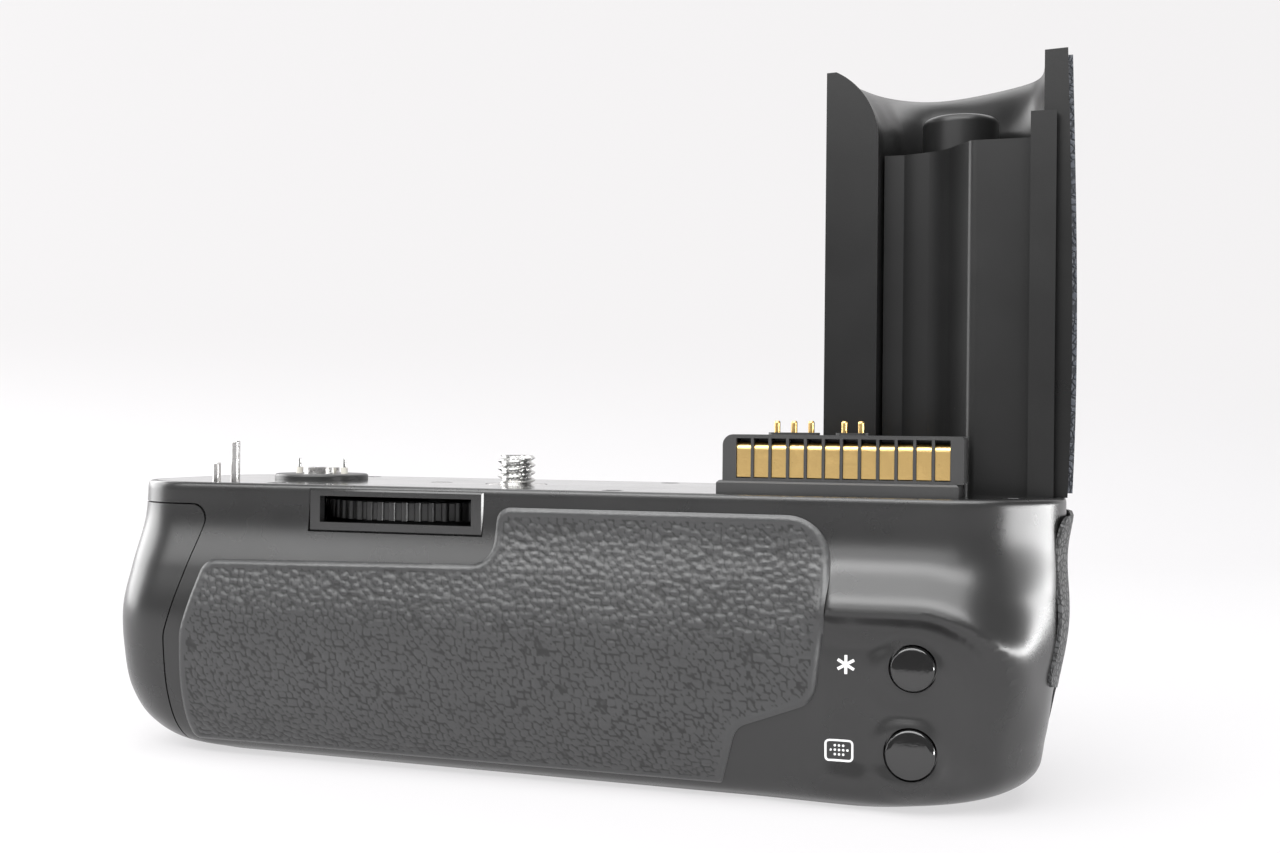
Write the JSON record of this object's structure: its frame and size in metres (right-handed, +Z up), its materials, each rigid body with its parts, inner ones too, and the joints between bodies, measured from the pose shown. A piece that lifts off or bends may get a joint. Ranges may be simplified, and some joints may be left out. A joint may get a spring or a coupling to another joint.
{
  "type": "camera power booster",
  "caption": "Battery grip that screws under a film camera and replaces its hand grip with a hollow tower.",
  "frame": {"origin": "camera screw axis on the flat top face that the camera sits on", "axes": "+X along the body towards the tower, +Y from the viewer's side to the front, +Z up"},
  "size_m": [0.1556, 0.0537, 0.1114],
  "materials": {
    "housing": "satin moulded plastic",
    "cover": "satin moulded plastic",
    "plate": "smooth satin plastic",
    "dark_metal": "black oxide",
    "steel": "turned steel",
    "bright_screw": "plated",
    "gold": "gold plated",
    "leather": "grained leatherette",
    "tower_skin": "grained leatherette",
    "tower_plastic": "polished moulded plastic",
    "tower_liner": "satin moulded plastic",
    "button": "polished plastic",
    "connector": "fine matt plastic",
    "disc": "matt plastic",
    "pale_bush": "pale insulating plastic",
    "board": "lacquered circuit board",
    "board_part": "moulded electronic parts",
    "bay": "plain moulded plastic",
    "cell": "wrapped cell",
    "shutter": "turned light metal"
  },
  "bodies": {
    "booster": {"main_housing": "housing", "top_plate": "plate", "plate_screws": "dark_metal", "window_frame": "dark_metal", "wheel_axle": "steel", "screw_bush": "dark_metal", "screw_retainer": "steel", "long_locating_pin": "steel", "short_locating_pin": "steel", "contact_disc": "disc", "contact_hub": "steel", "pin_bushes": "pale_bush", "connector_base": "connector", "connector_block": "connector", "connector_contacts": "gold", "tower_shell": "tower_plastic", "tower_leather": "tower_skin", "tower_liner": "tower_liner", "inner_post": "tower_plastic", "tower_screws": "steel", "rear_leather": "leather", "front_leather": "leather", "grip_leather": "leather", "thumb_switches": "board_part", "thumb_board": "board", "board_screws": "steel", "shutter_collar": "dark_metal", "dial_axle": "steel", "control_board": "board", "control_switches": "board_part", "battery_bay": "bay", "bay_contacts": "gold", "tripod_socket": "steel", "bottom_screws": "dark_metal", "main_board": "board", "board_parts": "board_part"},
    "attachment_wheel": {"attachment_wheel": "steel"},
    "camera_screw": {"camera_screw": "bright_screw", "screw_pinion": "gold"},
    "power_pins": {"power_pins": "gold"},
    "signal_pins": {"signal_pins": "gold"},
    "upper_thumb_button": {"upper_thumb_button": "button"},
    "lower_thumb_button": {"lower_thumb_button": "button"},
    "shutter_button": {"shutter_button": "shutter"},
    "small_button": {"front_small_button": "button"},
    "power_lever": {"power_lever": "button"},
    "control_dial": {"control_dial": "button"},
    "magazine": {"magazine_end_cover": "cover", "magazine_frame": "bay", "battery_cells": "cell", "cell_contacts": "gold"},
    "magazine_lock": {"lock_knob": "button", "lock_bolt": "steel"}
  },
  "joints": [
    {"name": "attachment_wheel_turn", "type": "hinge", "parent": "booster", "child": "attachment_wheel", "pos_m": [-0.01375, 0.0002, 0], "axis": [0, 0, 1], "continuous": true},
    {"name": "camera_screw_turn", "type": "hinge", "parent": "booster", "child": "camera_screw", "pos_m": [0, 0, 0], "axis": [0, 0, 1], "continuous": true},
    {"name": "power_pins_press", "type": "slide", "parent": "booster", "child": "power_pins", "axis": [0, 0, -1], "range_m": [0, 0.001], "stiffness_N_per_m": 60},
    {"name": "signal_pins_press", "type": "slide", "parent": "booster", "child": "signal_pins", "axis": [0, 0, -1], "range_m": [0, 0.0012], "stiffness_N_per_m": 60},
    {"name": "upper_thumb_press", "type": "slide", "parent": "booster", "child": "upper_thumb_button", "axis": [0, 1, 0], "range_m": [0, 0.0008], "stiffness_N_per_m": 150},
    {"name": "lower_thumb_press", "type": "slide", "parent": "booster", "child": "lower_thumb_button", "axis": [0, 1, 0], "range_m": [0, 0.0008], "stiffness_N_per_m": 150},
    {"name": "shutter_press", "type": "slide", "parent": "booster", "child": "shutter_button", "axis": [-0.7144, -0.6432, 0.2756], "range_m": [0, 0.001], "stiffness_N_per_m": 150},
    {"name": "small_button_press", "type": "slide", "parent": "booster", "child": "small_button", "axis": [-0.7144, -0.6432, 0.2756], "range_m": [0, 0.0006], "stiffness_N_per_m": 150},
    {"name": "power_lever_turn", "type": "hinge", "parent": "booster", "child": "power_lever", "pos_m": [0.08076, 0.01779, -0.02268], "axis": [0.7144, 0.6432, -0.2756], "range_deg": [0, 30]},
    {"name": "control_dial_turn", "type": "hinge", "parent": "booster", "child": "control_dial", "pos_m": [0.07471, 0.01234, -0.03439], "axis": [-0.6691, 0.7431, 0], "continuous": true},
    {"name": "magazine_slide", "type": "slide", "parent": "booster", "child": "magazine", "axis": [-1, 0, 0], "range_m": [0, 0.112]},
    {"name": "magazine_lock_turn", "type": "hinge", "parent": "magazine", "child": "magazine_lock", "pos_m": [-0.0586, 0.0012, -0.025], "axis": [1, 0, 0], "range_deg": [0, 90]}
  ],
  "couplings": [
    {"joint": "camera_screw_turn", "follows": "attachment_wheel_turn", "ratio": 5.2308}
  ]
}
